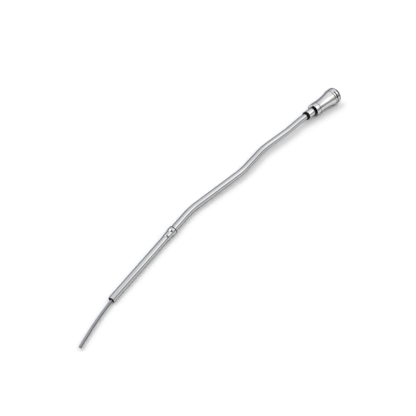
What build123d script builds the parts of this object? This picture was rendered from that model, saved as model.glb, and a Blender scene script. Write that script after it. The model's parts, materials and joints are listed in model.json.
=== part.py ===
from build123d import *
import os
from math import cos, radians, sin, tan

# Engine oil dipstick in its chromed guide tube, lying on a level surface as it comes to rest.
# The thin steel tube is bent in one plane. Its lower run goes into the engine block as far as
# the stop collar. A round steel rod runs through the whole tube and stands out of its lower
# mouth. The rod hangs from a turned handle, whose sleeve slips over the tube's upper end and
# closes it with two rubber seals. Millimetres, +Z up, +X from the rod's tip to the handle.

# Guide tube: 3/8 inch steel tube with cut and deburred ends
tube_od = 9.525
tube_wall = 0.9
tube_end_round = 0.25

# Straight runs of the tube, corner to corner, from the lower mouth to the upper end
lower_run = 182.1
middle_run = 102.0
steep_run = 54.0
upper_run = 53.0
joggle_run = 30.0
top_run = 24.5

# Turn at each corner in degrees, to the left where positive, and the radius it is bent to
lower_bend_turn = -12.5
middle_bend_turn = 10.8
upper_bend_turn = -11.4
joggle_in_turn = 4.5
joggle_out_turn = -3.7
bend_r = 110.0
joggle_bend_r = 90.0

# Stop collar: thin sleeve that stops the tube at the block. Its upper end is flared to a rim.
# Its lower end is rolled down to a thin edge, into a shallow groove in the tube.
collar_from_mouth = 120.1
collar_length = 18.6
collar_body_od = 10.5
collar_rim_od = 12.2
collar_rim_length = 6.2
collar_flare_length = 3.0
collar_rim_round = 0.9
crimp_length = 1.6
crimp_depth = 0.25
crimp_edge_wall = 0.35
crimp_end_gap = 0.3

# Dip rod: round steel rod, with a long bow of its own from inside the mouth to the tip
rod_d = 4.0
rod_reach = 78.4
rod_bow_turn = 9.8
rod_bow_r = 500.0
rod_tip_straight = 20.0
rod_tip_chamfer = 0.3
rod_grip_length = 22.0

# Tube seal: rubber bush round the tube, under the handle's sleeve
tube_seal_od = 13.2
tube_seal_length = 4.0
tube_seal_round = 1.2

# Handle sleeve: turned, with a socket for the tube and a spigot that holds it in the handle
sleeve_od = 12.7
sleeve_length = 11.6
sleeve_socket_depth = 8.5
sleeve_edge_chamfer = 0.3
spigot_od = 7.0
spigot_length = 14.0

# Face seal: O-ring between the sleeve and the handle
face_seal_section = 2.8

# Handle: turned from 1 inch bar, waisted, with a lipped front face and two head bands
lip_od = 20.2
lip_wall = 0.8
lip_round = 0.35
face_recess_depth = 0.7
handle_collar_length = 7.0
collar_groove_width = 1.0
collar_groove_depth = 0.7
neck_d = 19.2
neck_from_face = 15.8
flare_d = 24.3
flare_from_face = 39.2
head_d = 25.4
first_band_length = 3.1
head_groove_width = 2.2
head_groove_depth = 0.8
second_band_length = 3.0
end_dome_length = 5.6
end_face_d = 16.6
band_line_width = 0.8
band_line_depth = 0.8

# Fits: radial gap of the pressed pieces, and gap left where a round thing lies on another
press_gap = 0.02
seat_gap = 0.05

tube_r = tube_od / 2
bore_r = tube_r - tube_wall
rod_r = rod_d / 2
handle_length = (
    flare_from_face + first_band_length + head_groove_width + second_band_length + end_dome_length
)


def corners_from(start, heading, runs, turns):
    """Corners of a route in the tube's plane. Each run but the last ends in a turn."""
    corners = [start]
    for run, turn in zip(runs, turns + [0]):
        corners.append(corners[-1] + Vector(run * cos(radians(heading)), run * sin(radians(heading)), 0))
        heading += turn
    return corners


tube_runs = [lower_run, middle_run, steep_run, upper_run, joggle_run, top_run]
tube_turns = [lower_bend_turn, middle_bend_turn, upper_bend_turn, joggle_in_turn, joggle_out_turn]
tube_bend_radii = [bend_r, bend_r, bend_r, joggle_bend_r, joggle_bend_r]
tube_corners = corners_from(Vector(0, 0, 0), 0, tube_runs, tube_turns)

# Axes of the two straight ends, each with its Z along the tube, away from the rod's tip
lower_axis = Plane(origin=tube_corners[0], x_dir=(0, 1, 0), z_dir=(1, 0, 0))
top_direction = (tube_corners[-1] - tube_corners[-2]).normalized()
top_axis = Plane(origin=tube_corners[-1], x_dir=(0, 0, 1), z_dir=top_direction)

# Places along the top axis, counted from the tube's upper end
sleeve_start = -sleeve_socket_depth
sleeve_end = sleeve_start + sleeve_length
face_floor = sleeve_end + face_seal_section
handle_face = face_floor - face_recess_depth


def turned(outline):
    """Solid turned about Z from a closed outline of (radius, height) points and arcs."""
    return revolve(Plane.XZ * make_face(outline), Axis.Z)


def turned_groove(radius, start, width, depth):
    """Ring of metal that a grooving tool takes off a cylinder of this radius."""
    ring = Circle(radius + depth) - Circle(radius - depth)
    return Pos(0, 0, start) * extrude(ring, width)


def turned_hollow(radius, start, width, depth):
    """Ring of metal that a round-nosed tool takes off a cylinder of this radius."""
    nose_r = (width ** 2 / 4 + depth ** 2) / (2 * depth)
    return Pos(0, 0, start + width / 2) * Torus(radius - depth + nose_r, nose_r)


def swept_rod(path, radius):
    """Round bar that follows a path."""
    start = Plane(origin=path @ 0, z_dir=path % 0)
    return sweep(start * Circle(radius), path)


def rims_about(solid, point, reach=0.01):
    """Round edges of a solid that have their centre at a point."""
    circles = solid.edges().filter_by(GeomType.CIRCLE)
    return [edge for edge in circles if (edge.arc_center - point).length < reach]


def make_guide_tube():
    path = FilletPolyline(*tube_corners, radius=tube_bend_radii)
    tube = swept_rod(path, tube_r) - swept_rod(path, bore_r)
    ends = rims_about(tube, tube_corners[0]) + rims_about(tube, tube_corners[-1])
    tube = fillet(ends, tube_end_round)
    crimp_groove = turned_groove(tube_r, -crimp_end_gap, crimp_length + 2 * crimp_end_gap, crimp_depth)
    return tube - lower_axis.offset(collar_from_mouth).location * crimp_groove


def make_stop_collar():
    body_r = collar_body_od / 2
    rim_r = collar_rim_od / 2
    flare_start = collar_length - collar_rim_length - collar_flare_length
    flare_end = collar_length - collar_rim_length
    bore = tube_r + press_gap
    crimp_bore = bore - crimp_depth
    outline = Polyline((rim_r, flare_end), (rim_r, collar_length), (bore, collar_length), (bore, crimp_length))
    outline += Polyline(
        (bore, crimp_length), (crimp_bore, 0), (crimp_bore + crimp_edge_wall, 0),
        (body_r, crimp_length), (body_r, flare_start),
    )
    outline += TangentArc((body_r, flare_start), (rim_r, flare_end), tangent=(0, 1))
    collar = turned(outline)
    upper_rims = collar.edges().filter_by(GeomType.CIRCLE).group_by(Axis.Z)[-1]
    collar = fillet(upper_rims.sort_by(SortBy.RADIUS)[-1], collar_rim_round)
    return lower_axis.offset(collar_from_mouth).location * collar


def make_dip_rod():
    bow_tangent = rod_bow_r * tan(radians(rod_bow_turn / 2))
    tip_run = bow_tangent + rod_tip_straight
    bow_corner = tube_corners[0] - Vector(rod_reach - tip_run, 0, 0)
    tip_angle = radians(180 + rod_bow_turn)
    tip = bow_corner + Vector(cos(tip_angle), sin(tip_angle), 0) * tip_run
    top = tube_corners[-1] + top_direction * (sleeve_end + spigot_length + rod_grip_length)
    path = FilletPolyline(tip, bow_corner, *tube_corners[1:-1], top, radius=[rod_bow_r] + tube_bend_radii)
    rod = swept_rod(path, rod_r)
    return chamfer(rims_about(rod, tip), rod_tip_chamfer)


def make_tube_seal():
    bush = extrude(Circle(tube_seal_od / 2) - Circle(tube_r), tube_seal_length)
    rims = bush.edges().filter_by(GeomType.CIRCLE).group_by(SortBy.RADIUS)[-1]
    bush = fillet(rims, tube_seal_round)
    return top_axis.offset(sleeve_start - tube_seal_length).location * bush


def make_handle_sleeve():
    barrel = Cylinder(sleeve_od / 2, sleeve_length, align=(Align.CENTER, Align.CENTER, Align.MIN))
    barrel = chamfer(barrel.edges().filter_by(GeomType.CIRCLE), sleeve_edge_chamfer)
    barrel += extrude(Circle(spigot_od / 2), sleeve_length + spigot_length)
    barrel -= extrude(Circle(tube_r + press_gap), sleeve_socket_depth)
    barrel -= extrude(Circle(rod_r + press_gap), sleeve_length + spigot_length)
    return top_axis.offset(sleeve_start).location * barrel


def make_face_seal():
    ring_r = spigot_od / 2 + face_seal_section / 2
    ring = Torus(ring_r, face_seal_section / 2 - press_gap)
    return top_axis.offset(sleeve_end + face_seal_section / 2).location * ring


def make_handle():
    lip_r = lip_od / 2
    head_r = head_d / 2
    bands_end = handle_length - end_dome_length
    outline = Polyline((head_r, bands_end), (head_r, flare_from_face), (flare_d / 2, flare_from_face))
    outline += ThreePointArc(
        (flare_d / 2, flare_from_face), (neck_d / 2, neck_from_face), (lip_r, handle_collar_length)
    )
    outline += Polyline(
        (lip_r, handle_collar_length), (lip_r, 0), (lip_r - lip_wall, 0),
        (lip_r - lip_wall, face_recess_depth), (0, face_recess_depth), (0, handle_length),
        (end_face_d / 2, handle_length),
    )
    outline += TangentArc((head_r, bands_end), (end_face_d / 2, handle_length), tangent=(0, 1))
    handle = turned(outline)
    front_rims = handle.edges().filter_by(GeomType.CIRCLE).group_by(Axis.Z)[0]
    handle = fillet(front_rims, lip_round)
    handle -= turned_groove(lip_r, handle_collar_length, collar_groove_width, collar_groove_depth)
    handle -= turned_groove(head_r, flare_from_face, band_line_width, band_line_depth)
    head_groove_start = flare_from_face + first_band_length
    handle -= turned_hollow(head_r, head_groove_start, head_groove_width, head_groove_depth)
    spigot_bore_end = sleeve_end - handle_face + spigot_length + seat_gap
    handle -= extrude(Circle(spigot_od / 2 + press_gap), spigot_bore_end)
    handle -= extrude(Circle(rod_r + press_gap), spigot_bore_end + rod_grip_length)
    return top_axis.offset(handle_face).location * handle


# Three places carry the part on its surface: the tube's mouth, the collar's rim and the first
# of the handle's head bands. The lowest point of each gives the floor.
head_station = handle_face + flare_from_face + band_line_width
rim_station = collar_from_mouth + collar_length - collar_rim_length
head_support = top_axis.offset(head_station).origin - Vector(0, 0, head_d / 2)
rim_support = lower_axis.offset(rim_station).origin - Vector(0, 0, collar_rim_od / 2)
mouth_support = lower_axis.origin - Vector(0, 0, tube_r)
floor_normal = (rim_support - mouth_support).cross(head_support - mouth_support).normalized()
if floor_normal.Z < 0:
    floor_normal = floor_normal * -1
floor = Plane(origin=rim_support, x_dir=(1, 0, 0), z_dir=floor_normal)

pieces = {
    "guide_tube": make_guide_tube(),
    "stop_collar": make_stop_collar(),
    "dip_rod": make_dip_rod(),
    "tube_seal": make_tube_seal(),
    "handle_sleeve": make_handle_sleeve(),
    "face_seal": make_face_seal(),
    "handle": make_handle(),
}

# Set down on the floor, with the origin under the middle of the whole part
level = floor.location.inverse()
box = Compound([level * solid for solid in pieces.values()]).bounding_box()
middle = box.center()
rest = Pos(-middle.X, -middle.Y, -box.min.Z) * level

os.makedirs("parts", exist_ok=True)
for name, solid in pieces.items():
    export_step(rest * solid, f"parts/{name}.step")

block_pin = rest * lower_axis.location
print("size", box.size)
print("pin end of the tube", block_pin.position, "axis", Plane(block_pin).z_dir)
print("floor tilt degrees", floor_normal.get_angle(Vector(0, 0, 1)))
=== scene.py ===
import json
import math

import bmesh
import bpy
from mathutils import Matrix, Vector


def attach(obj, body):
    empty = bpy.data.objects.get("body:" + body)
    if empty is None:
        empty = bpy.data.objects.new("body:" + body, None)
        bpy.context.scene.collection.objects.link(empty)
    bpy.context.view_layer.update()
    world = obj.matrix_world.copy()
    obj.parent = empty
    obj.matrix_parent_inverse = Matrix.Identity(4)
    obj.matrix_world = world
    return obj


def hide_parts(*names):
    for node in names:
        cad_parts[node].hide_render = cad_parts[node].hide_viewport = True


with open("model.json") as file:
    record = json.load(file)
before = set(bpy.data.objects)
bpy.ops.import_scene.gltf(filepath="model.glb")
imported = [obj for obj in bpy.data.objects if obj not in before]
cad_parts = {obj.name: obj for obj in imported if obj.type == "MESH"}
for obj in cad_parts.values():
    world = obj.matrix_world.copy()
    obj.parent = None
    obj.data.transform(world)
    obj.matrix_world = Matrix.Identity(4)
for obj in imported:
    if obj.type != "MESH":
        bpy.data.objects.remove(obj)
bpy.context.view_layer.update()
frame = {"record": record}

# Guide tube. A length of 3/8 inch steel tube, bent cold at five places in one plane, then chrome
# plated. Both ends are cut square and deburred, and a groove is rolled in it for the stop collar.
# The lower run is pressed into the engine block, so the record's pin gives its place.
mm = 0.001
tube_r = 9.525 * mm / 2
tube_wall = 0.9 * mm
tube_end_round = 0.25 * mm
tube_runs = [182.1 * mm, 102.0 * mm, 54.0 * mm, 53.0 * mm, 30.0 * mm, 24.5 * mm]
tube_turns = [-12.5, 10.8, -11.4, 4.5, -3.7]
tube_bend_radii = [110.0 * mm, 110.0 * mm, 110.0 * mm, 90.0 * mm, 90.0 * mm]
tube_lean = math.radians(-3.2158)
crimp_start = 119.8 * mm
crimp_width = 2.2 * mm
crimp_depth = 0.25 * mm
stock_steps = 72
deburr_steps = 4
deburr_angle = math.radians(70)

pin = frame["record"]["mounts"][0]
up_tube = -Vector(pin["axis"]).normalized()
mouth = Vector(pin["pos_m"]) - up_tube * (pin["dims"]["length_mm"] * mm / 2 + tube_end_round)
level_side = Vector((0, 0, 1)).cross(up_tube).normalized()
tube_side = Matrix.Rotation(tube_lean, 3, up_tube) @ level_side


def laid(point):
    """A point of the tube's plane, along and across its lower run, where the tube lies at rest."""
    return mouth + up_tube * point.x + tube_side * point.y


def route_corners(start, heading, runs, turns):
    """Corners of a route of straight runs, with a turn in degrees between them."""
    corners = [start]
    for run, turn in zip(runs, turns + [0]):
        step = Vector((math.cos(math.radians(heading)), math.sin(math.radians(heading))))
        corners.append(corners[-1] + step * run)
        heading += turn
    return corners


def eased_corner(before, corner, after, radius, step=math.radians(0.5)):
    """Points of the arc that rounds one corner of a flat line."""
    way_in = (corner - before).normalized()
    way_out = (after - corner).normalized()
    turn = math.atan2(way_in.cross(way_out), way_in.dot(way_out))
    if radius == 0 or abs(turn) < 1e-6:
        return [corner]
    reach = radius * math.tan(abs(turn) / 2)
    across = Vector((-way_in.y, way_in.x)) * math.copysign(radius, turn)
    first = corner - way_in * reach
    centre = first + across
    count = max(2, math.ceil(abs(turn) / step))
    spokes = [Matrix.Rotation(turn * i / count, 2) for i in range(count + 1)]
    return [centre + spoke @ (first - centre) for spoke in spokes]


def bent_line(corners, radii):
    """An open flat line with its corners rounded."""
    line = [corners[0]]
    for before, corner, after, radius in zip(corners, corners[1:], corners[2:], radii):
        line += eased_corner(before, corner, after, radius)
    return line + [corners[-1]]


def bent_stock_tree():
    """Round stock swept along a bent route. It keeps how far along the stock each point was, and
    where it was in the section, for the finish to follow."""
    tree = bpy.data.node_groups.new("bent_stock", "GeometryNodeTree")
    for name, kind in (
        ("Route", "NodeSocketGeometry"),
        ("Radius", "NodeSocketFloat"),
        ("Steps Around", "NodeSocketInt"),
        ("Closed Ends", "NodeSocketBool"),
        ("Finish", "NodeSocketMaterial"),
    ):
        tree.interface.new_socket(name, in_out="INPUT", socket_type=kind)
    tree.interface.new_socket("Stock", in_out="OUTPUT", socket_type="NodeSocketGeometry")
    node = tree.nodes.new
    link = tree.links.new
    given = node("NodeGroupInput")
    route = node("GeometryNodeMeshToCurve")
    girth = node("GeometryNodeInputNamedAttribute")
    girth.inputs["Name"].default_value = "girth"
    along = node("GeometryNodeSplineParameter")
    keep_along = node("GeometryNodeStoreNamedAttribute")
    keep_along.inputs["Name"].default_value = "along"
    section = node("GeometryNodeCurvePrimitiveCircle")
    section_place = node("GeometryNodeInputPosition")
    keep_section = node("GeometryNodeStoreNamedAttribute")
    keep_section.data_type = "FLOAT_VECTOR"
    keep_section.inputs["Name"].default_value = "section"
    sweep = node("GeometryNodeCurveToMesh")
    smooth = node("GeometryNodeSetShadeSmooth")
    realize = node("GeometryNodeRealizeInstances")
    finish = node("GeometryNodeSetMaterial")
    result = node("NodeGroupOutput")
    link(given.outputs["Route"], route.inputs["Mesh"])
    link(route.outputs["Curve"], keep_along.inputs["Geometry"])
    link(along.outputs["Length"], keep_along.inputs["Value"])
    link(keep_along.outputs["Geometry"], sweep.inputs["Curve"])
    link(given.outputs["Radius"], section.inputs["Radius"])
    link(given.outputs["Steps Around"], section.inputs["Resolution"])
    link(section.outputs["Curve"], keep_section.inputs["Geometry"])
    link(section_place.outputs["Position"], keep_section.inputs["Value"])
    link(keep_section.outputs["Geometry"], sweep.inputs["Profile Curve"])
    link(girth.outputs["Attribute"], sweep.inputs["Scale"])
    link(given.outputs["Closed Ends"], sweep.inputs["Fill Caps"])
    link(sweep.outputs["Mesh"], smooth.inputs["Geometry"])
    link(smooth.outputs["Geometry"], realize.inputs["Geometry"])
    link(realize.outputs["Geometry"], finish.inputs["Geometry"])
    link(given.outputs["Finish"], finish.inputs["Material"])
    link(finish.outputs["Geometry"], result.inputs["Stock"])
    return tree


def bent_stock(name, line, girths, radius, closed_ends, finish):
    """An object that sweeps round stock along a flat line of the tube's plane."""
    mesh = bpy.data.meshes.new(name)
    steps = [(i, i + 1) for i in range(len(line) - 1)]
    mesh.from_pydata([laid(point) for point in line], steps, [])
    girth = mesh.attributes.new("girth", "FLOAT", "POINT")
    girth.data.foreach_set("value", girths)
    stock = bpy.data.objects.new(name, mesh)
    bpy.context.scene.collection.objects.link(stock)
    bend = stock.modifiers.new("bent_stock", "NODES")
    bend.node_group = bpy.data.node_groups.get("bent_stock") or bent_stock_tree()
    given = {
        "Radius": radius,
        "Steps Around": stock_steps,
        "Closed Ends": closed_ends,
        "Finish": finish,
    }
    for socket in bend.node_group.interface.items_tree:
        if socket.name in given:
            bend[socket.identifier] = given[socket.name]
    return stock


def made_plain(piece):
    """Turn a piece's modifiers into plain mesh."""
    depsgraph = bpy.context.evaluated_depsgraph_get()
    mesh = bpy.data.meshes.new_from_object(piece.evaluated_get(depsgraph))
    piece.modifiers.clear()
    piece.data = mesh


def chrome_plate():
    """Bright chrome. Faint draw lines of the tube underneath run along it, and handling marks
    leave the shine a little uneven."""
    material = bpy.data.materials.new("chrome_plate")
    material.use_nodes = True
    node = material.node_tree.nodes.new
    link = material.node_tree.links.new
    plate = material.node_tree.nodes["Principled BSDF"]
    plate.inputs["Metallic"].default_value = 1.0
    plate.inputs["Specular Tint"].default_value = (0.15, 0.15, 0.15, 1)
    place = node("ShaderNodeTexCoord")
    smear = node("ShaderNodeTexNoise")
    smear.inputs["Scale"].default_value = 55.0
    smear.inputs["Detail"].default_value = 5.0
    shine = node("ShaderNodeMapRange")
    shine.inputs["From Min"].default_value = 0.35
    shine.inputs["From Max"].default_value = 0.7
    shine.inputs["To Min"].default_value = 0.04
    shine.inputs["To Max"].default_value = 0.08
    tone = node("ShaderNodeValToRGB")
    tone.color_ramp.elements[0].color = (0.495, 0.497, 0.502, 1)
    tone.color_ramp.elements[1].color = (0.545, 0.547, 0.552, 1)
    along = node("ShaderNodeAttribute")
    along.attribute_name = "along"
    section = node("ShaderNodeAttribute")
    section.attribute_name = "section"
    sides = node("ShaderNodeSeparateXYZ")
    stock_place = node("ShaderNodeCombineXYZ")
    stretch = node("ShaderNodeVectorMath")
    stretch.operation = "MULTIPLY"
    stretch.inputs[1].default_value = (12.0, 2600.0, 2600.0)
    lines = node("ShaderNodeTexNoise")
    lines.inputs["Scale"].default_value = 1.0
    lines.inputs["Detail"].default_value = 3.0
    relief = node("ShaderNodeBump")
    relief.inputs["Strength"].default_value = 0.05
    relief.inputs["Distance"].default_value = 0.02 * mm
    link(place.outputs["Object"], smear.inputs["Vector"])
    link(smear.outputs["Fac"], shine.inputs["Value"])
    link(shine.outputs["Result"], plate.inputs["Roughness"])
    link(smear.outputs["Fac"], tone.inputs["Fac"])
    link(tone.outputs["Color"], plate.inputs["Base Color"])
    link(section.outputs["Vector"], sides.inputs["Vector"])
    link(along.outputs["Fac"], stock_place.inputs["X"])
    link(sides.outputs["X"], stock_place.inputs["Y"])
    link(sides.outputs["Y"], stock_place.inputs["Z"])
    link(stock_place.outputs["Vector"], stretch.inputs[0])
    link(stretch.outputs["Vector"], lines.inputs["Vector"])
    link(lines.outputs["Fac"], relief.inputs["Height"])
    link(relief.outputs["Normal"], plate.inputs["Normal"])
    return material


def bare_bore():
    """The inside of the tube, where the plating doesn't reach: dark steel with a film of oil."""
    material = bpy.data.materials.new("bare_bore")
    material.use_nodes = True
    node = material.node_tree.nodes.new
    link = material.node_tree.links.new
    steel = material.node_tree.nodes["Principled BSDF"]
    steel.inputs["Specular IOR Level"].default_value = 0.2
    steel.inputs["Roughness"].default_value = 0.6
    place = node("ShaderNodeTexCoord")
    film_and_painted_shade = node("ShaderNodeTexNoise")
    film_and_painted_shade.inputs["Scale"].default_value = 400.0
    tone = node("ShaderNodeValToRGB")
    tone.color_ramp.elements[0].color = (0.004, 0.004, 0.004, 1)
    tone.color_ramp.elements[1].color = (0.014, 0.013, 0.012, 1)
    link(place.outputs["Object"], film_and_painted_shade.inputs["Vector"])
    link(film_and_painted_shade.outputs["Fac"], tone.inputs["Fac"])
    link(tone.outputs["Color"], steel.inputs["Base Color"])
    return material


chrome = chrome_plate()
tube_corners = route_corners(Vector((0, 0)), 0, tube_runs, tube_turns)
tube_line = bent_line(tube_corners, tube_bend_radii)
tube_girths = [1.0] * len(tube_line)
crimp_end = crimp_start + crimp_width
crimp_girth = 1 - crimp_depth / tube_r
crimp = [
    (crimp_start - crimp_depth, 1.0), (crimp_start, 1.0), (crimp_start + crimp_depth, crimp_girth),
    (crimp_end - crimp_depth, crimp_girth), (crimp_end, 1.0), (crimp_end + crimp_depth, 1.0),
]
tube_line[1:1] = [Vector((station, 0)) for station, girth in crimp]
tube_girths[1:1] = [girth for station, girth in crimp]
guide_tube = bent_stock("guide_tube_plated", tube_line, tube_girths, tube_r, False, chrome)
made_plain(guide_tube)
guide_tube.data.materials.append(bare_bore())
wall = guide_tube.modifiers.new("wall", "SOLIDIFY")
wall.thickness = tube_wall
wall.offset = -1
wall.material_offset = 1
deburr = guide_tube.modifiers.new("deburr", "BEVEL")
deburr.width = tube_end_round
deburr.segments = deburr_steps
deburr.limit_method = "ANGLE"
deburr.angle_limit = deburr_angle
made_plain(guide_tube)
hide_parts("guide_tube")
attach(guide_tube, "root")

# Stop collar. A thin steel sleeve, chromed like the tube. Its upper end is flared to a rounded rim.
# Its lower end is rolled down into the tube's groove, so that it stops the tube at the block. Shade
# is painted along its upper edge, and a dark reflection in a patch each on its flare and its rolled
# end.
collar_from_mouth = 120.1 * mm
collar_length = 18.6 * mm
collar_body_r = 10.5 * mm / 2
collar_rim_r = 12.2 * mm / 2
collar_rim_length = 6.2 * mm
collar_flare_length = 3.0 * mm
collar_rim_round = 0.9 * mm
crimp_length = 1.6 * mm
crimp_edge_wall = 0.35 * mm
crimp_edge_round = 0.1 * mm
crimp_shoulder_round = 0.5 * mm
press_gap = 0.02 * mm
turning_steps = 120
sharp_edge = math.radians(40)
round_step = math.radians(10)
flare_steps = 10
# A near-black tone, mixed into the metals as painted shade and painted dark reflections.
painted_dark_tone = (0.02, 0.019, 0.018, 1)

bore_r = tube_r + press_gap
crimp_bore_r = bore_r - crimp_depth
flare_end = collar_length - collar_rim_length
flare_start = flare_end - collar_flare_length

# Where painted shade begins and is full at the collar's upper edge. Then where each patch of
# painted dark reflection lies, along the collar from its foot and across the part: from, to, and
# how wide its edge fades.
upper_edge_painted_shade = (collar_length - 2.1 * mm, collar_length - 1.6 * mm)
flare_painted_shade_along = (flare_end - 2.2 * mm, flare_end + 0.2 * mm, 0.4 * mm)
flare_painted_shade_across = (mouth.y - 3.4 * mm, mouth.y - 0.5 * mm, 0.5 * mm)
roll_painted_shade_along = (0.7 * mm, 2.9 * mm, 0.5 * mm)
roll_painted_shade_across = (mouth.y - 4.2 * mm, mouth.y - 0.8 * mm, 0.5 * mm)


def turned(name, outline, foot, axis, finish):
    """A piece turned about an axis. Its outline is a closed loop of points, each the distance from
    the axis and the distance along it from the foot, with the piece on the left of the loop."""
    turn = axis.to_track_quat("Z", "Y").to_matrix()
    shape = bmesh.new()
    full_turn = [2 * math.pi * i / turning_steps for i in range(turning_steps)]
    rings = []
    for point in outline:
        on_axis = point.x < 1e-7
        spokes = [0.0] if on_axis else full_turn
        ring = [Vector((point.x * math.cos(a), point.x * math.sin(a), point.y)) for a in spokes]
        rings.append([shape.verts.new(foot + turn @ place) for place in ring])
    for ring, following in zip(rings, rings[1:] + rings[:1]):
        for i in range(turning_steps):
            corners = [ring[i % len(ring)], ring[(i + 1) % len(ring)]]
            corners += [following[(i + 1) % len(following)], following[i % len(following)]]
            corners = list(dict.fromkeys(corners))
            if len(corners) > 2:
                shape.faces.new(corners)
    bmesh.ops.recalc_face_normals(shape, faces=shape.faces)
    mesh = bpy.data.meshes.new(name)
    shape.to_mesh(mesh)
    shape.free()
    turned_place = mesh.attributes.new("turned", "FLOAT_VECTOR", "POINT")
    places = [(point.x, point.y, 0) for point, ring in zip(outline, rings) for vertex in ring]
    turned_place.data.foreach_set("vector", [value for place in places for value in place])
    mesh.shade_smooth()
    mesh.set_sharp_from_angle(angle=sharp_edge)
    mesh.materials.append(finish)
    piece = bpy.data.objects.new(name, mesh)
    bpy.context.scene.collection.objects.link(piece)
    return piece


def eased_outline(corners):
    """Closed outline from corners of distance from the axis, distance along it and edge radius."""
    places = [Vector(corner[:2]) for corner in corners]
    outline = []
    for i, (_, _, radius) in enumerate(corners):
        before = places[i - 1]
        after = places[(i + 1) % len(places)]
        outline += eased_corner(before, places[i], after, radius, round_step)
    return outline


def arc_from(start, end, count):
    """Points of the arc that leaves a cylinder's side smoothly at one point and ends at another,
    without the two ends."""
    rise = Vector(end) - Vector(start)
    radius = rise.length_squared / (2 * rise.x)
    centre = Vector((start[0] + radius, start[1]))
    turn = 2 * math.atan2(rise.x, rise.y)
    spokes = [Matrix.Rotation(-turn * i / count, 2) for i in range(1, count)]
    return [tuple(centre + spoke @ (Vector(start) - centre)) + (0,) for spoke in spokes]


def eased_step(tree, value, start, end):
    """A socket that goes smoothly from 0 to 1 as a value goes from start to end."""
    step = tree.nodes.new("ShaderNodeMapRange")
    step.interpolation_type = "SMOOTHSTEP"
    step.inputs["From Min"].default_value = start
    step.inputs["From Max"].default_value = end
    tree.links.new(value, step.inputs["Value"])
    return step.outputs["Result"]


def joined(tree, operation, first, second):
    """A socket that puts two values together."""
    join = tree.nodes.new("ShaderNodeMath")
    join.operation = operation
    tree.links.new(first, join.inputs[0])
    tree.links.new(second, join.inputs[1])
    return join.outputs["Value"]


def turned_sockets(tree):
    """Sockets for the distance from the axis, and along it from the foot, on a turned piece."""
    place = tree.nodes.new("ShaderNodeAttribute")
    place.attribute_name = "turned"
    sides = tree.nodes.new("ShaderNodeSeparateXYZ")
    tree.links.new(place.outputs["Vector"], sides.inputs["Vector"])
    return sides.outputs["X"], sides.outputs["Y"]


def with_painted_shade(material, painted_shade):
    """A copy of a metal, darkened by painted shade and painted dark reflections. A function builds
    the painted mask as a socket from 0 to 1.
    """
    copy = material.copy()
    tree = copy.node_tree
    unpainted_colour = tree.nodes["Principled BSDF"].inputs["Base Color"]
    film_and_painted_shade = tree.nodes.new("ShaderNodeMix")
    film_and_painted_shade.data_type = "RGBA"
    film_and_painted_shade.inputs[6].default_value = unpainted_colour.default_value
    film_and_painted_shade.inputs[7].default_value = painted_dark_tone
    if unpainted_colour.is_linked:
        tree.links.new(unpainted_colour.links[0].from_socket, film_and_painted_shade.inputs[6])
    tree.links.new(painted_shade(tree), film_and_painted_shade.inputs["Factor"])
    tree.links.new(film_and_painted_shade.outputs[2], unpainted_colour)
    return copy


def between(tree, value, low, high, fade):
    """A socket that is 1 while a value lies well between two limits, and fades to 0 at them."""
    past_low = eased_step(tree, value, low, low + fade)
    before_high = eased_step(tree, value, high, high - fade)
    return joined(tree, "MULTIPLY", past_low, before_high)


def collar_painted_shade(tree):
    """Painted shade at its upper edge; painted dark reflections on the near side of flare and
    rolled end.
    """
    _, station = turned_sockets(tree)
    place = tree.nodes.new("ShaderNodeTexCoord")
    sides = tree.nodes.new("ShaderNodeSeparateXYZ")
    tree.links.new(place.outputs["Object"], sides.inputs["Vector"])
    across = sides.outputs["Y"]
    at_upper_edge = eased_step(tree, station, *upper_edge_painted_shade)
    along_flare = between(tree, station, *flare_painted_shade_along)
    across_flare = between(tree, across, *flare_painted_shade_across)
    on_flare = joined(tree, "MULTIPLY", along_flare, across_flare)
    along_roll = between(tree, station, *roll_painted_shade_along)
    across_roll = between(tree, across, *roll_painted_shade_across)
    on_roll = joined(tree, "MULTIPLY", along_roll, across_roll)
    return joined(tree, "MAXIMUM", at_upper_edge, joined(tree, "MAXIMUM", on_flare, on_roll))


collar_corners = [
    (bore_r, crimp_length, 0),
    (crimp_bore_r, 0, 0),
    (crimp_bore_r + crimp_edge_wall, 0, crimp_edge_round),
    (collar_body_r, crimp_length, crimp_shoulder_round),
    (collar_body_r, flare_start, 0),
]
collar_corners += arc_from((collar_body_r, flare_start), (collar_rim_r, flare_end), flare_steps)
collar_corners += [
    (collar_rim_r, flare_end, 0),
    (collar_rim_r, collar_length, collar_rim_round),
    (bore_r, collar_length, 0),
]
collar_outline = eased_outline(collar_corners)
collar_foot = laid(Vector((collar_from_mouth, 0)))
# The collar's chrome carries painted shade at its upper edge and painted dark reflections on its
# near side.
collar_finish_with_painted_shade = with_painted_shade(chrome, collar_painted_shade)
stop_collar = turned("stop_collar_plated", collar_outline, collar_foot, up_tube, collar_finish_with_painted_shade)
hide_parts("stop_collar")
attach(stop_collar, "root")

# Dip rod. Round drawn steel, straightened by hand, so it keeps a slow bow. It follows the tube from
# end to end, stands out of the mouth and is cut square at the tip, with a small chamfer. Light and
# shade are painted across it: lighter on one side, darker on the other.
rod_r = 4.0 * mm / 2
rod_reach = 78.4 * mm
rod_bow_turn = 9.8
rod_bow_r = 500.0 * mm
rod_tip_straight = 20.0 * mm
rod_tip_chamfer = 0.3 * mm
rod_into_handle = 39.1 * mm
rod_sharp_edge = math.radians(35)
# The side of the rod's section that is painted darker, as painted shade; the far side is painted
# lighter.
shaded_side_of_section = (0.94, 0.34, 0.0)


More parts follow.
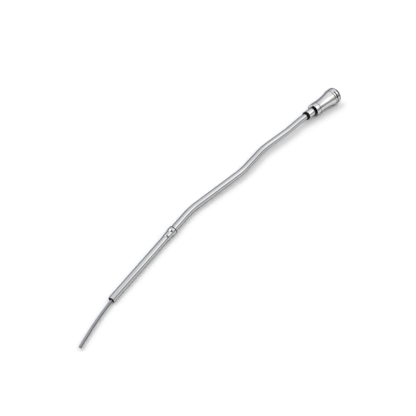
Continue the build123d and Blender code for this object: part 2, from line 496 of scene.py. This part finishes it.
def drawn_steel():
    """Drawn steel, duller than the plate, with fine lines along it, and painted light and shade:
    lighter on one side of its section, darker on the other.
    """
    material = bpy.data.materials.new("rod_steel")
    material.use_nodes = True
    node = material.node_tree.nodes.new
    link = material.node_tree.links.new
    steel = material.node_tree.nodes["Principled BSDF"]
    steel.inputs["Metallic"].default_value = 1.0
    along = node("ShaderNodeAttribute")
    along.attribute_name = "along"
    section = node("ShaderNodeAttribute")
    section.attribute_name = "section"
    sides = node("ShaderNodeSeparateXYZ")
    stock_place = node("ShaderNodeCombineXYZ")
    stretch = node("ShaderNodeVectorMath")
    stretch.operation = "MULTIPLY"
    stretch.inputs[1].default_value = (40.0, 5200.0, 5200.0)
    lines = node("ShaderNodeTexNoise")
    lines.inputs["Scale"].default_value = 1.0
    lines.inputs["Detail"].default_value = 4.0
    tone = node("ShaderNodeValToRGB")
    tone.color_ramp.elements[0].position = 0.3
    tone.color_ramp.elements[0].color = (0.25, 0.25, 0.26, 1)
    tone.color_ramp.elements[1].position = 0.75
    tone.color_ramp.elements[1].color = (0.36, 0.36, 0.37, 1)
    shine = node("ShaderNodeMapRange")
    shine.inputs["To Min"].default_value = 0.22
    shine.inputs["To Max"].default_value = 0.38
    relief = node("ShaderNodeBump")
    relief.inputs["Strength"].default_value = 0.12
    relief.inputs["Distance"].default_value = 0.02 * mm
    # Painted light and shade: the steel's colour is lifted on one side of the section and darkened
    # on the other.
    shaded_side = node("ShaderNodeVectorMath")
    shaded_side.operation = "DOT_PRODUCT"
    shaded_side.inputs[1].default_value = shaded_side_of_section
    painted_side_shade = node("ShaderNodeMapRange")
    painted_side_shade.inputs["From Min"].default_value = -0.7 * rod_r
    painted_side_shade.inputs["From Max"].default_value = 0.7 * rod_r
    painted_side_shade.inputs["To Min"].default_value = 1.3
    painted_side_shade.inputs["To Max"].default_value = 0.6
    film_and_painted_shade = node("ShaderNodeVectorMath")
    film_and_painted_shade.operation = "SCALE"
    link(section.outputs["Vector"], sides.inputs["Vector"])
    link(along.outputs["Fac"], stock_place.inputs["X"])
    link(sides.outputs["X"], stock_place.inputs["Y"])
    link(sides.outputs["Y"], stock_place.inputs["Z"])
    link(stock_place.outputs["Vector"], stretch.inputs[0])
    link(stretch.outputs["Vector"], lines.inputs["Vector"])
    link(lines.outputs["Fac"], tone.inputs["Fac"])
    link(section.outputs["Vector"], shaded_side.inputs[0])
    link(shaded_side.outputs["Value"], painted_side_shade.inputs["Value"])
    link(tone.outputs["Color"], film_and_painted_shade.inputs[0])
    link(painted_side_shade.outputs["Result"], film_and_painted_shade.inputs["Scale"])
    link(film_and_painted_shade.outputs["Vector"], steel.inputs["Base Color"])
    link(lines.outputs["Fac"], shine.inputs["Value"])
    link(shine.outputs["Result"], steel.inputs["Roughness"])
    link(lines.outputs["Fac"], relief.inputs["Height"])
    link(relief.outputs["Normal"], steel.inputs["Normal"])
    return material


tip_run = rod_bow_r * math.tan(math.radians(rod_bow_turn / 2)) + rod_tip_straight
bow_corner = Vector((tip_run - rod_reach, 0))
tip_angle = math.radians(180 + rod_bow_turn)
rod_tip = bow_corner + Vector((math.cos(tip_angle), math.sin(tip_angle))) * tip_run
top_way = (tube_corners[-1] - tube_corners[-2]).normalized()
rod_top = tube_corners[-1] + top_way * rod_into_handle
rod_corners = [rod_tip, bow_corner] + tube_corners[1:-1] + [rod_top]
rod_line = bent_line(rod_corners, [rod_bow_r] + tube_bend_radii)
chamfer_share = rod_tip_chamfer / (rod_line[1] - rod_tip).length
rod_line[1:1] = [rod_tip.lerp(rod_line[1], chamfer_share)]
rod_girths = [1.0] * len(rod_line)
rod_girths[0] = 1 - rod_tip_chamfer / rod_r
dip_rod = bent_stock("dip_rod_drawn", rod_line, rod_girths, rod_r, True, drawn_steel())
made_plain(dip_rod)
dip_rod.data.set_sharp_from_angle(angle=rod_sharp_edge)
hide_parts("dip_rod")
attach(dip_rod, "root")

# Tube seal. A moulded rubber bush round the tube's upper end, pushed up against the handle's
# sleeve. Its edges are round, and its surface has the fine matt grain of the mould.
seal_r = 13.2 * mm / 2
seal_length = 4.0 * mm
seal_round = 1.2 * mm
socket_depth = 8.5 * mm
top_axis = (laid(tube_corners[-1]) - laid(tube_corners[-2])).normalized()
tube_top = laid(tube_corners[-1])


def black_rubber():
    """Moulded rubber, nearly black, with a fine matt grain."""
    material = bpy.data.materials.new("black_rubber")
    material.use_nodes = True
    node = material.node_tree.nodes.new
    link = material.node_tree.links.new
    rubber = material.node_tree.nodes["Principled BSDF"]
    rubber.inputs["Specular IOR Level"].default_value = 0.08
    place = node("ShaderNodeTexCoord")
    grain = node("ShaderNodeTexNoise")
    grain.inputs["Scale"].default_value = 1800.0
    grain.inputs["Detail"].default_value = 3.0
    bloom = node("ShaderNodeTexNoise")
    bloom.inputs["Scale"].default_value = 220.0
    tone = node("ShaderNodeValToRGB")
    tone.color_ramp.elements[0].position = 0.4
    tone.color_ramp.elements[0].color = (0.003, 0.003, 0.003, 1)
    tone.color_ramp.elements[1].position = 0.8
    tone.color_ramp.elements[1].color = (0.009, 0.009, 0.01, 1)
    shine = node("ShaderNodeMapRange")
    shine.inputs["To Min"].default_value = 0.45
    shine.inputs["To Max"].default_value = 0.7
    relief = node("ShaderNodeBump")
    relief.inputs["Strength"].default_value = 0.25
    relief.inputs["Distance"].default_value = 0.05 * mm
    link(place.outputs["Object"], grain.inputs["Vector"])
    link(place.outputs["Object"], bloom.inputs["Vector"])
    link(bloom.outputs["Fac"], tone.inputs["Fac"])
    link(tone.outputs["Color"], rubber.inputs["Base Color"])
    link(bloom.outputs["Fac"], shine.inputs["Value"])
    link(shine.outputs["Result"], rubber.inputs["Roughness"])
    link(grain.outputs["Fac"], relief.inputs["Height"])
    link(relief.outputs["Normal"], rubber.inputs["Normal"])
    return material


rubber = black_rubber()
seal_corners = [
    (tube_r, 0, 0),
    (seal_r, 0, seal_round),
    (seal_r, seal_length, seal_round),
    (tube_r, seal_length, 0),
]
seal_foot = tube_top - top_axis * (socket_depth + seal_length)
tube_seal = turned("tube_seal_moulded", eased_outline(seal_corners), seal_foot, top_axis, rubber)
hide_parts("tube_seal")
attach(tube_seal, "root")

# Handle sleeve. Turned from 1/2 inch aluminium bar and polished. Its socket slips over the tube,
# and its spigot is pressed into the handle with the rod through it.
sleeve_r = 12.7 * mm / 2
sleeve_length = 11.6 * mm
sleeve_chamfer = 0.3 * mm
spigot_r = 7.0 * mm / 2
spigot_length = 14.0 * mm
edge_break = 0.12 * mm


def polished_aluminium():
    """Turned and polished aluminium. Fine tool lines run round it, and polish softens them."""
    material = bpy.data.materials.new("polished_aluminium")
    material.use_nodes = True
    node = material.node_tree.nodes.new
    link = material.node_tree.links.new
    metal = material.node_tree.nodes["Principled BSDF"]
    metal.inputs["Metallic"].default_value = 1.0
    metal.inputs["Base Color"].default_value = (0.62, 0.618, 0.618, 1)
    metal.inputs["Specular Tint"].default_value = (0.25, 0.25, 0.25, 1)
    place = node("ShaderNodeTexCoord")
    smear = node("ShaderNodeTexNoise")
    smear.inputs["Scale"].default_value = 90.0
    smear.inputs["Detail"].default_value = 4.0
    shine = node("ShaderNodeMapRange")
    shine.inputs["To Min"].default_value = 0.09
    shine.inputs["To Max"].default_value = 0.2
    lathe_place = node("ShaderNodeAttribute")
    lathe_place.attribute_name = "turned"
    stretch = node("ShaderNodeVectorMath")
    stretch.operation = "MULTIPLY"
    stretch.inputs[1].default_value = (3000.0, 3000.0, 0.0)
    lines = node("ShaderNodeTexNoise")
    lines.inputs["Scale"].default_value = 1.0
    lines.inputs["Detail"].default_value = 3.0
    relief = node("ShaderNodeBump")
    relief.inputs["Strength"].default_value = 0.08
    relief.inputs["Distance"].default_value = 0.02 * mm
    link(place.outputs["Object"], smear.inputs["Vector"])
    link(smear.outputs["Fac"], shine.inputs["Value"])
    link(shine.outputs["Result"], metal.inputs["Roughness"])
    link(lathe_place.outputs["Vector"], stretch.inputs[0])
    link(stretch.outputs["Vector"], lines.inputs["Vector"])
    link(lines.outputs["Fac"], relief.inputs["Height"])
    link(relief.outputs["Normal"], metal.inputs["Normal"])
    return material


aluminium = polished_aluminium()
spigot_end = sleeve_length + spigot_length
rod_bore_r = rod_r + press_gap
sleeve_corners = [
    (bore_r, 0, edge_break),
    (sleeve_r, 0, sleeve_chamfer),
    (sleeve_r, sleeve_length, sleeve_chamfer),
    (spigot_r, sleeve_length, 0),
    (spigot_r, spigot_end, 0),
    (rod_bore_r, spigot_end, 0),
    (rod_bore_r, socket_depth, 0),
    (bore_r, socket_depth, 0),
]
sleeve_outline = eased_outline(sleeve_corners)
sleeve_foot = tube_top - top_axis * socket_depth
handle_sleeve = turned("handle_sleeve_turned", sleeve_outline, sleeve_foot, top_axis, aluminium)
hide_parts("handle_sleeve")
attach(handle_sleeve, "root")

# Face seal. A plain rubber O-ring on the spigot. It closes the joint between the sleeve and the
# handle, and shows as a black ring in the handle's recess.
face_seal_section = 2.8 * mm
sleeve_end = sleeve_foot + top_axis * sleeve_length
ring_steps = 24
ring_middle = Vector((spigot_r + face_seal_section / 2, face_seal_section / 2))
ring_reach = Vector((face_seal_section / 2 - press_gap, 0))
ring_spokes = [Matrix.Rotation(2 * math.pi * i / ring_steps, 2) for i in range(ring_steps)]
ring_outline = [ring_middle + spoke @ ring_reach for spoke in ring_spokes]
face_seal = turned("face_seal_ring", ring_outline, sleeve_end, top_axis, rubber)
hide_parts("face_seal")
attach(face_seal, "root")

# Handle. Turned from 1 inch aluminium bar and polished: a lipped front face, a short collar with a
# grooved line behind it, a waisted grip, and a head of two bands with a domed end. Shade and dark
# reflections are painted on its near side, in the face's recess, in the head's groove and where the
# dome begins.
lip_r = 20.2 * mm / 2
lip_wall = 0.8 * mm
lip_round = 0.35 * mm
face_recess_depth = 0.7 * mm
handle_collar_length = 7.0 * mm
collar_groove_width = 1.0 * mm
collar_groove_depth = 0.7 * mm
neck_r = 19.2 * mm / 2
neck_from_face = 15.8 * mm
flare_r = 24.3 * mm / 2
flare_from_face = 39.2 * mm
head_r = 25.4 * mm / 2
first_band_length = 3.1 * mm
head_groove_width = 2.2 * mm
head_groove_depth = 0.8 * mm
second_band_length = 3.0 * mm
end_dome_length = 5.6 * mm
end_face_r = 16.6 * mm / 2
band_line_width = 0.8 * mm
band_line_depth = 0.8 * mm
seat_gap = 0.05 * mm
rod_grip_length = 22.0 * mm
grip_shoulder_drop = 0.1 * mm
waist_steps = 60
groove_steps = 10
dome_steps = 12

handle_face = face_seal_section - face_recess_depth
head_groove_start = flare_from_face + first_band_length
second_band_start = head_groove_start + head_groove_width
bands_end = second_band_start + second_band_length
handle_length = bands_end + end_dome_length
rod_bore_start = spigot_length - handle_face + seat_gap
rod_bore_end = rod_bore_start + rod_grip_length
spigot_bore_r = spigot_r + press_gap
recess_r = lip_r - lip_wall
groove_end = handle_collar_length + collar_groove_width
groove_floor_r = lip_r - collar_groove_depth
band_line_end = flare_from_face + band_line_width
band_line_floor_r = head_r - band_line_depth
head_groove_floor = (head_r - head_groove_depth, head_groove_start + head_groove_width / 2)

near_side = top_axis.cross(Vector((0, 0, 1))).normalized()
handle_middle = near_side.dot(tube_top)

# Where the painted shade begins and is full, out to the near side and in from the recess's wall.
# Then where it lies along the handle from its face: from, to, and how wide its edge fades.
near_side_painted_shade = (handle_middle + 1.5 * mm, handle_middle + 5.0 * mm)
recess_painted_shade_inward = (recess_r, recess_r - 0.1 * mm)
recess_painted_shade_share = 0.8
recess_painted_shade_along = (-0.1 * mm, 1.0 * mm, 0.1 * mm)
groove_painted_shade_along = (head_groove_start - 0.1 * mm, second_band_start + 0.1 * mm, 0.2 * mm)
dome_painted_shade_along = (bands_end - 0.2 * mm, bands_end + 1.8 * mm, 0.4 * mm)


def arc_through(start, middle, end, count):
    """Points of the arc through three points, without its two ends."""
    a, b, c = Vector(start), Vector(middle), Vector(end)
    ab, ac = b - a, c - a
    scale = 0.5 / ab.cross(ac)
    offset = Vector((
        ac.y * ab.length_squared - ab.y * ac.length_squared,
        ab.x * ac.length_squared - ac.x * ab.length_squared,
    ))
    centre = a + offset * scale
    sweep = (a - centre).angle_signed(c - centre)
    spokes = [Matrix.Rotation(-sweep * i / count, 2) for i in range(1, count)]
    return [tuple(centre + spoke @ (a - centre)) + (0,) for spoke in spokes]


def handle_painted_shade(tree):
    """Painted shade and dark reflections on the near side: in the face's recess, the head's groove,
    the dome.
    """
    radius, station = turned_sockets(tree)
    place = tree.nodes.new("ShaderNodeTexCoord")
    sideways = tree.nodes.new("ShaderNodeVectorMath")
    sideways.operation = "DOT_PRODUCT"
    sideways.inputs[1].default_value = near_side
    tree.links.new(place.outputs["Object"], sideways.inputs[0])
    on_near_side = eased_step(tree, sideways.outputs["Value"], *near_side_painted_shade)
    along_recess = between(tree, station, *recess_painted_shade_along)
    within_recess = eased_step(tree, radius, *recess_painted_shade_inward)
    in_recess = tree.nodes.new("ShaderNodeMath")
    in_recess.operation = "MULTIPLY"
    in_recess.inputs[1].default_value = recess_painted_shade_share
    tree.links.new(joined(tree, "MULTIPLY", along_recess, within_recess), in_recess.inputs[0])
    in_groove = between(tree, station, *groove_painted_shade_along)
    on_dome = between(tree, station, *dome_painted_shade_along)
    on_head = joined(tree, "MAXIMUM", in_groove, on_dome)
    painted_shade = joined(tree, "MAXIMUM", in_recess.outputs["Value"], on_head)
    return joined(tree, "MULTIPLY", on_near_side, painted_shade)


waist_start = (lip_r, handle_collar_length)
waist_end = (flare_r, flare_from_face)
waist = arc_through(waist_start, (neck_r, neck_from_face), waist_end, waist_steps)
handle_corners = [
    (recess_r, 0, lip_round),
    (lip_r, 0, lip_round),
    (lip_r, handle_collar_length, edge_break),
    (groove_floor_r, handle_collar_length, 0),
    (groove_floor_r, groove_end, 0),
    (lip_r - grip_shoulder_drop, groove_end, 0),
]
handle_corners += [point for point in waist if point[1] > groove_end]
handle_corners += [
    (flare_r, flare_from_face, 0),
    (band_line_floor_r, flare_from_face, 0),
    (band_line_floor_r, band_line_end, 0),
    (head_r, band_line_end, edge_break),
    (head_r, head_groove_start, 0),
]
handle_corners += arc_through(
    (head_r, head_groove_start), head_groove_floor, (head_r, second_band_start), groove_steps
)
handle_corners += [(head_r, second_band_start, 0), (head_r, bands_end, 0)]
handle_corners += arc_from((head_r, bands_end), (end_face_r, handle_length), dome_steps)
handle_corners += [
    (end_face_r, handle_length, 0),
    (0, handle_length, 0),
    (0, rod_bore_end, 0),
    (rod_bore_r, rod_bore_end, 0),
    (rod_bore_r, rod_bore_start, 0),
    (spigot_bore_r, rod_bore_start, 0),
    (spigot_bore_r, face_recess_depth, 0),
    (recess_r, face_recess_depth, 0),
]
handle_outline = eased_outline(handle_corners)
handle_foot = sleeve_end + top_axis * handle_face
# The handle's aluminium carries painted shade and painted dark reflections on its near side.
handle_finish_with_painted_shade = with_painted_shade(aluminium, handle_painted_shade)
handle = turned("handle_turned", handle_outline, handle_foot, top_axis, handle_finish_with_painted_shade)
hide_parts("handle")
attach(handle, "root")

# Table and light. The part lies on a plain white surface in a pale room, brighter overhead than low
# down and a little cooler on the far side. One softbox above the far side throws the shadow, and
# another gives the long highlight.
table_reach = 12.0
table_white = 0.95
room_low = 0.25
room_overhead = 1.18
room_overhead_from = 0.9
room_near_tint = (1.0, 0.985, 0.97, 1)
room_far_tint = (0.95, 0.975, 1.02, 1)
room_dark_corner = 0.04
dark_above_tip = (-0.742, -0.346, 0.574)
dark_beyond_handle = (0.907, -0.366, 0.208)


def white_surface():
    """Matt white card."""
    material = bpy.data.materials.new("white_surface")
    material.use_nodes = True
    card = material.node_tree.nodes["Principled BSDF"]
    card.inputs["Base Color"].default_value = (table_white, table_white, table_white, 1)
    card.inputs["Roughness"].default_value = 0.9
    card.inputs["Specular IOR Level"].default_value = 0.0
    return material


table_mesh = bpy.data.meshes.new("table")
table_corners = [(-table_reach, -table_reach, 0), (table_reach, -table_reach, 0)]
table_corners += [(table_reach, table_reach, 0), (-table_reach, table_reach, 0)]
table_mesh.from_pydata(table_corners, [], [(0, 1, 2, 3)])
table_mesh.materials.append(white_surface())
table = bpy.data.objects.new("table", table_mesh)
bpy.context.scene.collection.objects.link(table)

room = bpy.data.worlds.new("pale_room")
room.use_nodes = True
bpy.context.scene.world = room
room_node = room.node_tree.nodes.new
room_link = room.node_tree.links.new
room_walls = room.node_tree.nodes["Background"]
looking = room_node("ShaderNodeTexCoord")
room_way = room_node("ShaderNodeSeparateXYZ")
room_side = room_node("ShaderNodeMapRange")
room_side.inputs["From Min"].default_value = -0.5
room_side.inputs["From Max"].default_value = 0.5
room_tint = room_node("ShaderNodeMix")
room_tint.data_type = "RGBA"
room_tint.inputs[6].default_value = room_near_tint
room_tint.inputs[7].default_value = room_far_tint
room_tone = room_node("ShaderNodeMapRange")
room_tone.interpolation_type = "SMOOTHSTEP"
room_tone.inputs["From Max"].default_value = room_overhead_from
room_tone.inputs["To Min"].default_value = room_low
room_tone.inputs["To Max"].default_value = room_overhead


def seen_or_mirrored(tree):
    """A socket that is 1 for what the camera sees, straight or in a shiny or clear surface."""
    path = tree.nodes.new("ShaderNodeLightPath")
    straight_or_shiny = joined(
        tree, "MAXIMUM", path.outputs["Is Camera Ray"], path.outputs["Is Glossy Ray"]
    )
    return joined(tree, "MAXIMUM", straight_or_shiny, path.outputs["Is Transmission Ray"])


def dark_corner(towards, edge, heart):
    """A socket that falls from 1 to the dark corners' level round one direction. The edge and the
    heart of the corner are cosines of the angle from that direction."""
    facing = room_node("ShaderNodeVectorMath")
    facing.operation = "DOT_PRODUCT"
    facing.inputs[1].default_value = Vector(towards).normalized()
    shade = room_node("ShaderNodeMapRange")
    shade.interpolation_type = "SMOOTHSTEP"
    shade.inputs["From Min"].default_value = edge
    shade.inputs["From Max"].default_value = heart
    shade.inputs["To Min"].default_value = 1.0
    shade.inputs["To Max"].default_value = room_dark_corner
    room_link(looking.outputs["Generated"], facing.inputs[0])
    room_link(facing.outputs["Value"], shade.inputs["Value"])
    return shade.outputs["Result"]


above_tip = dark_corner(dark_above_tip, edge=0.72, heart=0.84)
beyond_handle = dark_corner(dark_beyond_handle, edge=0.89, heart=0.955)
room_shades = joined(room.node_tree, "MULTIPLY", above_tip, beyond_handle)
room_seen = joined(room.node_tree, "MULTIPLY", room_tone.outputs["Result"], room_shades)
room_strength = room_node("ShaderNodeMix")
room_link(looking.outputs["Generated"], room_way.inputs["Vector"])
room_link(room_way.outputs["Y"], room_side.inputs["Value"])
room_link(room_side.outputs["Result"], room_tint.inputs["Factor"])
room_link(room_tint.outputs[2], room_walls.inputs["Color"])
room_link(room_way.outputs["Z"], room_tone.inputs["Value"])
room_link(seen_or_mirrored(room.node_tree), room_strength.inputs["Factor"])
room_link(room_tone.outputs["Result"], room_strength.inputs["A"])
room_link(room_seen, room_strength.inputs["B"])
room_link(room_strength.outputs["Result"], room_walls.inputs["Strength"])


def softbox(name, place, side, power):
    """A square soft lamp that faces the middle of the part."""
    lamp = bpy.data.lights.new(name, "AREA")
    lamp.shape = "SQUARE"
    lamp.size = side
    lamp.energy = power
    stand = bpy.data.objects.new(name, lamp)
    stand.location = place
    stand.rotation_euler = (-Vector(place)).to_track_quat("-Z", "Y").to_euler()
    stand.visible_camera = False
    bpy.context.scene.collection.objects.link(stand)


softbox("shadow_softbox", place=(-0.2, 1.3, 2.7), side=1.0, power=13.0)
softbox("highlight_softbox", place=(0.75, -0.78, 1.02), side=0.8, power=1.4)

# Camera. It looks down on the part from beyond the rod's tip, through a long lens, at the angle
# and the distance that the photograph's own outlines give.
photo_width = 416
focal_length_px = 951.2
camera_height = 0.925
camera_from_middle = Vector((-0.7718, -0.4687))
sight_heading = math.radians(32.479)
sight_drop = math.radians(45.65)
sight_roll = math.radians(0.545)

sight = Vector((
    math.cos(sight_heading) * math.cos(sight_drop),
    math.sin(sight_heading) * math.cos(sight_drop),
    -math.sin(sight_drop),
))
sight_turn = sight.to_track_quat("-Z", "Y").to_matrix() @ Matrix.Rotation(-sight_roll, 3, "Z")
lens = bpy.data.cameras.new("camera")
lens.lens = lens.sensor_width * focal_length_px / photo_width
camera = bpy.data.objects.new("camera", lens)
camera.location = (camera_from_middle.x, camera_from_middle.y, camera_height)
camera.rotation_euler = sight_turn.to_euler()
bpy.context.scene.collection.objects.link(camera)
bpy.context.scene.camera = camera
bpy.context.scene.view_settings.view_transform = "Standard"
